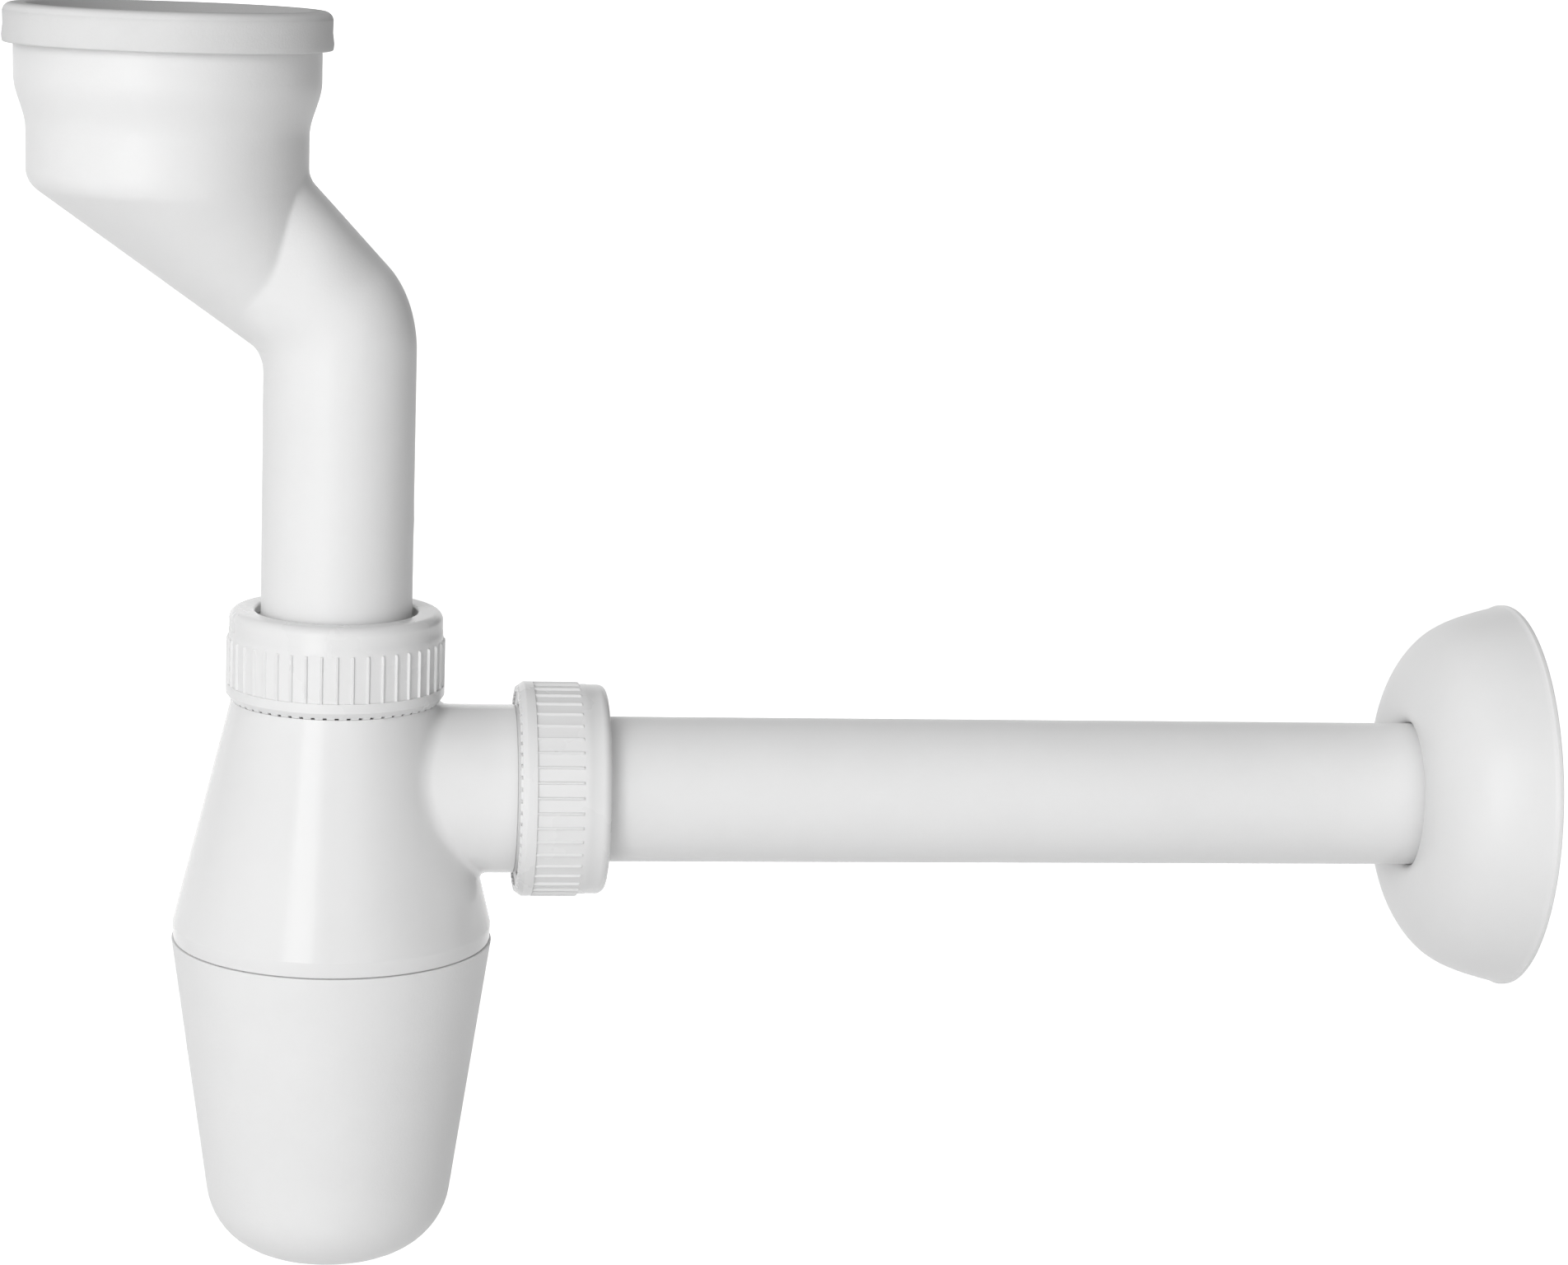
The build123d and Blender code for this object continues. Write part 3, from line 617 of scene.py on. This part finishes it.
def build_flange():
    outer_end = (RIM_R - RIM_STEP, RIM_X - RIM_EDGE - RIM_STEP)
    inner_end = (outer_end[0] - FLANGE_WALL, outer_end[1])
    throat = (THROAT_R, HOLE_X + THROAT_DEPTH)
    dome = [(NOSE_R + out * (RIM_R - NOSE_R), NOSE_X + back * (RIM_X - NOSE_X))
            for out, back in DOME]
    lining = [(r - FLANGE_WALL * sin(out), x + FLANGE_WALL * cos(out))
              for (r, x), (out, _) in zip(dome, DOME)]
    outside = curve([(HOLE_R, HOLE_X), (NOSE_R, NOSE_X), *dome, outer_end],
                    (NOSE_LEAN, -1), (RIM_LEAN, 1), 10)
    rim = rounded([outer_end, (RIM_R, RIM_X - RIM_EDGE, 0.25), (RIM_R, RIM_X, 0.25),
                   (inner_end[0], RIM_X)], 3)[1:]
    inside = curve([inner_end, *reversed(lining), (NOSE_R, NOSE_X + FLANGE_WALL), throat],
                   (-RIM_LEAN, -1), (-NOSE_LEAN, 1), 8)
    collar = rounded([throat, (GRIP_R + FLANGE_WALL, GRIP_X, 0.3), (GRIP_R, GRIP_X, 0.3),
                      (GRIP_R, GRIP_X - GRIP_LENGTH), (HOLE_R, HOLE_X)], 3)[1:-1]
    outline = np.concatenate([outside, rim, inside, collar])
    skin = Skin()
    skin.grid(ring_points(outline, even(288 // COARSE)), closed=True)
    return skin.mesh("flange_dome", "flange", "wall_flange", on_outlet(),
                     sharp=40)


# Bottle cup, heights from the outlet's axis

CUP_RIM, CUP_RIM_R, CUP_BOTTOM, CUP_TAPER = -41.96, 43.75, -131.3, tan(radians(8.04))
CUP_BOTTOM_ROUND, CUP_THREAD_R, LEDGE, LEDGE_R = 20.3, 39.9, -54.2, 37.3


def cup_radius(z):
    return CUP_RIM_R - (CUP_RIM - z) * CUP_TAPER


def cup_swell(r, z, angle):
    return (np.abs(r - CUP_THREAD_R) < SAME_R) * -ridge(
        z, angle, CUP_THREAD, LEDGE + 1.5, CUP_RIM - 1.0, INNER_THREAD)


def build_cup():
    floor = CUP_BOTTOM + WALL
    taper_start = CUP_RIM - (CUP_RIM_R - WALL - LEDGE_R) / CUP_TAPER
    outside = rounded([
        (0, CUP_BOTTOM), (cup_radius(CUP_BOTTOM), CUP_BOTTOM, CUP_BOTTOM_ROUND),
        (CUP_RIM_R, CUP_RIM, 0.25), (CUP_THREAD_R + 0.5, CUP_RIM, 0.2),
        (CUP_THREAD_R, CUP_RIM - 0.5)], 14)
    thread_end = (CUP_THREAD_R, LEDGE + 0.4)
    thread = between((CUP_THREAD_R, CUP_RIM - 0.8), thread_end, 0.35 * COARSE)
    inside = rounded([
        thread_end, (CUP_THREAD_R, LEDGE, 0.3), (LEDGE_R, LEDGE, 0.3), (LEDGE_R, taper_start),
        (cup_radius(floor) - WALL, floor, CUP_BOTTOM_ROUND - WALL), (0, floor)], 10)
    rings = filled_in([*outside, *thread, *inside], 9)
    skin = Skin()
    skin.grid(ring_points(rings, even(240 // COARSE), cup_swell))
    return skin.mesh("cup_shell", "cup", "bottle_cup", on_bottle())


# Shader nodes

MIX_A, MIX_B, MIX_RESULT = 6, 7, 2  # colour sockets of a mix node


def add_node(tree, kind, **sockets):
    node = tree.nodes.new(kind)
    for key, value in sockets.items():
        node.inputs[key.replace("_", " ")].default_value = value
    return node


def math_node(tree, operation, first, second, clamp=False):
    """Result of a calculation with two sockets, or with a socket and a number."""
    node = tree.nodes.new("ShaderNodeMath")
    node.operation, node.use_clamp = operation, clamp
    tree.links.new(first, node.inputs[0])
    if isinstance(second, (int, float)):
        node.inputs[1].default_value = second
    else:
        tree.links.new(second, node.inputs[1])
    return node.outputs[0]


def two_tone(tree, value, low, high, dark, light):
    """Colour that goes from dark to light between two values of a socket."""
    ramp = tree.nodes.new("ShaderNodeValToRGB")
    first, last = ramp.color_ramp.elements
    first.position, last.position = low, high
    first.color, last.color = (*dark, 1), (*light, 1)
    tree.links.new(value, ramp.inputs["Fac"])
    return ramp.outputs["Color"]


def multiplied(tree, colour, other, factor):
    node = tree.nodes.new("ShaderNodeMix")
    node.data_type, node.blend_type = "RGBA", "MULTIPLY"
    node.inputs["Factor"].default_value = factor
    tree.links.new(colour, node.inputs[MIX_A])
    tree.links.new(other, node.inputs[MIX_B])
    return node.outputs[MIX_RESULT]


def new_material(name):
    mat = bpy.data.materials.new(name)
    mat.use_nodes = True
    return mat, mat.node_tree, mat.node_tree.nodes["Principled BSDF"]


# Materials

WHITE, GLOSSY_WHITE, RUBBER_WHITE = (0.80, 0.80, 0.80), (0.79, 0.79, 0.79), (0.72, 0.72, 0.72)
RING_WHITE, RUBBER_BLACK = (0.74, 0.74, 0.72), (0.035, 0.035, 0.038)
DUST, CLEAN = (0.93, 0.93, 0.925), (1, 1, 1)
DUST_SHARE = 0.55
CLOUD_LOW, CLOUD_HIGH = 0.3, 0.7
SCATTER_DEPTHS = (0.0025, 0.0023, 0.0021)  # metres, for red, green and blue


def painted_shade_inside(tree, place, painted, edge, shade):
    """Colour made darker nearer to the Z axis than an edge, in metres: painted shade, standing in
    for the shade on a top rounding and in a mouth.
    """
    across = tree.nodes.new("ShaderNodeVectorMath")
    across.operation = "MULTIPLY"
    across.inputs[1].default_value = (1, 1, 0)
    tree.links.new(place, across.inputs[0])
    far = tree.nodes.new("ShaderNodeVectorMath")
    far.operation = "LENGTH"
    tree.links.new(across.outputs["Vector"], far.inputs[0])
    inner = add_node(tree, "ShaderNodeMapRange", From_Min=edge - 0.0012, From_Max=edge + 0.0008,
                     To_Min=shade, To_Max=1.0)
    tree.links.new(far.outputs["Value"], inner.inputs["Value"])
    return multiplied(tree, painted, inner.outputs["Result"], 1.0)


def plastic(name, colour, rough, grain, grain_size=900.0, mottle=0.012, shine=0.4,
            scatter=0.04, wave=0.0, hollow=None):
    """Moulded plastic or rubber: faint colour and gloss changes, a fine skin texture, and, where
    hollow is given, painted shade near the axis.
    """
    mat, tree, shader = new_material(name)
    link = tree.links.new
    place = tree.nodes.new("ShaderNodeTexCoord").outputs["Object"]
    cloudy = add_node(tree, "ShaderNodeTexNoise", Scale=38.0, Detail=4.0, Roughness=0.55)
    fine = add_node(tree, "ShaderNodeTexNoise", Scale=grain_size, Detail=3.0, Roughness=0.6)
    speck = add_node(tree, "ShaderNodeTexVoronoi", Scale=420.0)
    for node in (cloudy, fine, speck):
        link(place, node.inputs["Vector"])

    dark = [c * (1 - 2 * mottle) for c in colour]
    tint = two_tone(tree, cloudy.outputs["Fac"], CLOUD_LOW, CLOUD_HIGH, dark, colour)
    dust = two_tone(tree, speck.outputs["Distance"], 0.03, 0.06, DUST, CLEAN)
    painted = multiplied(tree, tint, dust, DUST_SHARE)
    # Painted shade: with hollow, the colour darkens near the axis, where shade falls on the top
    # rounding and into the mouth.
    if hollow:
        painted = painted_shade_inside(tree, place, painted, *hollow)
    link(painted, shader.inputs["Base Color"])

    gloss = add_node(tree, "ShaderNodeMapRange", From_Min=CLOUD_LOW, From_Max=CLOUD_HIGH,
                     To_Min=max(0.02, rough - 0.035), To_Max=rough + 0.045)
    link(cloudy.outputs["Fac"], gloss.inputs["Value"])
    link(gloss.outputs["Result"], shader.inputs["Roughness"])

    bump = add_node(tree, "ShaderNodeBump", Strength=grain, Distance=0.0004)
    link(fine.outputs["Fac"], bump.inputs["Height"])
    if wave:
        sink = add_node(tree, "ShaderNodeBump", Strength=wave, Distance=0.002)
        slow = add_node(tree, "ShaderNodeTexNoise", Scale=22.0, Detail=1.0, Roughness=0.4)
        link(place, slow.inputs["Vector"])
        link(slow.outputs["Fac"], sink.inputs["Height"])
        link(sink.outputs["Normal"], bump.inputs["Normal"])
    link(bump.outputs["Normal"], shader.inputs["Normal"])

    shader.inputs["IOR"].default_value = 1.49
    shader.inputs["Specular IOR Level"].default_value = shine
    shader.inputs["Subsurface Weight"].default_value = scatter
    shader.inputs["Subsurface Radius"].default_value = SCATTER_DEPTHS
    shader.inputs["Subsurface Scale"].default_value = 1.0
    return mat


def give(obj, mat):
    obj.data.materials.clear()
    obj.data.materials.append(mat)


looks = {
    "funnel_plastic": dict(colour=WHITE, rough=0.42, grain=0.10, wave=0.05),
    # The cuff's hollow setting is painted shade: its top rounding and mouth are darkened in the
    # colour.
    "cuff_rubber": dict(colour=RUBBER_WHITE, rough=0.62, grain=0.25, grain_size=1400.0,
                        mottle=0.02, scatter=0.06, shine=0.3, hollow=(0.0415, 0.62)),
    "nut_plastic": dict(colour=GLOSSY_WHITE, rough=0.27, grain=0.015, shine=0.3),
    "body_plastic": dict(colour=GLOSSY_WHITE, rough=0.16, grain=0.02, wave=0.02, shine=0.25),
    "pipe_plastic": dict(colour=WHITE, rough=0.40, grain=0.08, mottle=0.015, wave=0.02),
    "flange_plastic": dict(colour=GLOSSY_WHITE, rough=0.38, grain=0.06, wave=0.04),
    "cup_plastic": dict(colour=WHITE, rough=0.48, grain=0.14, mottle=0.015, wave=0.03),
    "ring_plastic": dict(colour=RING_WHITE, rough=0.35, grain=0.12, mottle=0.03),
    "seal_rubber": dict(colour=RUBBER_BLACK, rough=0.55, grain=0.4, grain_size=1600.0,
                        mottle=0.12, scatter=0.0),
}
finishes = {slot: plastic(slot, **look) for slot, look in looks.items()}

# Pieces

TOP_NUT_Z, OUTLET_NUT_X = 25.2, 49.6
give(build_funnel(), finishes["funnel_plastic"])
give(build_cuff(), finishes["cuff_rubber"])
give(build_body(), finishes["body_plastic"])
give(build_pipe(), finishes["pipe_plastic"])
give(build_flange(), finishes["flange_plastic"])
give(build_cup(), finishes["cup_plastic"])
top_nut = build_nut("nut_on_top", "top_nut", "top_nut", on_bottle(TOP_NUT_Z))
outlet_nut = build_nut("nut_on_outlet", "outlet_nut", "outlet_nut", on_outlet(OUTLET_NUT_X))
for obj in (top_nut, outlet_nut):
    give(obj, finishes["nut_plastic"])
for node in ("top_slip_ring", "outlet_slip_ring"):
    give(nodes[node], finishes["ring_plastic"])
for node in ("top_cone_washer", "outlet_cone_washer", "cup_gasket"):
    give(nodes[node], finishes["seal_rubber"])

# Stage, in metres

STAGE_WHITE, FLOOR_GLOW, BACKDROP_GLOW = (0.85, 0.85, 0.85), 0.75, 0.9
FLOOR_Z, BACK_Y, WIDE = -0.42, 4.0, 6.0
BACK_LEFT, BACK_RIGHT, BACK_TOP = -4.0, 2.3, 1.6


def flat_panel(name, corners):
    data = bpy.data.meshes.new(name)
    data.from_pydata(corners, [], [(0, 1, 2, 3)])
    obj = bpy.data.objects.new(name, data)
    bpy.context.scene.collection.objects.link(obj)
    return obj


def stage_white(name, glow):
    """Pale stage surface that shows as plain white to the camera where no shadow falls."""
    mat, tree, shader = new_material(name)
    shader.inputs["Base Color"].default_value = (*STAGE_WHITE, 1)
    shader.inputs["Roughness"].default_value = 0.9
    shader.inputs["Specular IOR Level"].default_value = 0.1
    rays = tree.nodes.new("ShaderNodeLightPath").outputs
    seen = math_node(tree, "ADD", rays["Is Camera Ray"], rays["Is Glossy Ray"])
    seen = math_node(tree, "ADD", seen, rays["Is Transmission Ray"], clamp=True)
    shader.inputs["Emission Color"].default_value = (1, 1, 1, 1)
    tree.links.new(math_node(tree, "MULTIPLY", seen, glow), shader.inputs["Emission Strength"])
    return mat


floor = flat_panel("floor", [
    (-WIDE, -WIDE, FLOOR_Z), (WIDE, -WIDE, FLOOR_Z),
    (WIDE, BACK_Y, FLOOR_Z), (-WIDE, BACK_Y, FLOOR_Z)])
backdrop = flat_panel("backdrop", [
    (BACK_LEFT, BACK_Y, FLOOR_Z), (BACK_RIGHT, BACK_Y, FLOOR_Z),
    (BACK_RIGHT, BACK_Y, BACK_TOP), (BACK_LEFT, BACK_Y, BACK_TOP)])
give(floor, stage_white("floor_white", FLOOR_GLOW))
give(backdrop, stage_white("backdrop_white", BACKDROP_GLOW))

# Light

MIDDLE = (0.12, 0, -0.2)
WORLD_LEVELS = [(-180, 0.8), (-130, 0.79), (-90, 0.54), (-60, 0.8), (-35, 0.6), (-10, 0.6),
                (15, 1.0), (40, 0.39), (65, 0.0), (90, 0.0), (130, 0.0), (180, 0.8)]


def studio_world(levels):
    """Soft light from all round, from (azimuth, strength) pairs; 0 is the front, 90 the right."""
    world = bpy.data.worlds.new("studio")
    bpy.context.scene.world = world
    world.use_nodes = True
    tree = world.node_tree
    background = tree.nodes["Background"]
    strongest = max(level for _, level in levels)
    background.inputs["Strength"].default_value = strongest
    direction = tree.nodes.new("ShaderNodeTexCoord")
    split = tree.nodes.new("ShaderNodeSeparateXYZ")
    tree.links.new(direction.outputs["Generated"], split.inputs["Vector"])
    front = math_node(tree, "MULTIPLY", split.outputs["Y"], -1)
    azimuth = math_node(tree, "ARCTAN2", split.outputs["X"], front)
    turn = add_node(tree, "ShaderNodeMapRange", From_Min=-pi, From_Max=pi)
    tree.links.new(azimuth, turn.inputs["Value"])
    ramp = tree.nodes.new("ShaderNodeValToRGB")
    stops = ramp.color_ramp.elements
    while len(stops) < len(levels):
        stops.new(0.5)
    for stop, (angle, level) in zip(stops, levels):
        stop.position = 0.5 + angle / 360
        stop.color = (level / strongest, level / strongest, level / strongest, 1)
    tree.links.new(turn.outputs["Result"], ramp.inputs["Fac"])
    tree.links.new(ramp.outputs["Color"], background.inputs["Color"])


def softbox(name, place, width, height, watts):
    """Rectangular light that faces the middle of the part."""
    data = bpy.data.lights.new(name, "AREA")
    data.shape, data.size, data.size_y, data.energy = "RECTANGLE", width, height, watts
    obj = bpy.data.objects.new(name, data)
    obj.location = place
    obj.rotation_euler = (Vector(MIDDLE) - Vector(place)).to_track_quat("-Z", "Y").to_euler()
    bpy.context.scene.collection.objects.link(obj)


studio_world(WORLD_LEVELS)
softbox("key", (-0.72, -1.72, 0.37), width=0.71, height=1.58, watts=16.5)
softbox("fill", (0.55, -1.8, 0.3), width=0.9, height=1.6, watts=2.5)

# Camera, at the photo's angle

YAW, PITCH, ROLL = 7.77, 11.03, 2.15
CAMERA_PLACE = (0.02979, -1.01557, 0.04078)
FOCAL_LENGTH, PHOTO_WIDTH, SENSOR = 4600, 1904, 36.0  # pixels, pixels, millimetres

look = (Matrix.Rotation(radians(ROLL), 3, "Z") @ Matrix(((1, 0, 0), (0, 0, -1), (0, 1, 0)))
        @ Matrix.Rotation(radians(PITCH), 3, "X") @ Matrix.Rotation(radians(YAW), 3, "Z"))
camera_data = bpy.data.cameras.new("camera")
camera_data.sensor_width = SENSOR
camera_data.lens = FOCAL_LENGTH * SENSOR / PHOTO_WIDTH
camera_data.clip_start, camera_data.clip_end = 0.05, 20
camera = bpy.data.objects.new("camera", camera_data)
bpy.context.scene.collection.objects.link(camera)
pose = Matrix((look[0], -look[1], -look[2])).transposed().to_4x4()
pose.translation = CAMERA_PLACE
camera.matrix_world = pose
bpy.context.scene.camera = camera
bpy.context.scene.view_settings.view_transform = "Standard"
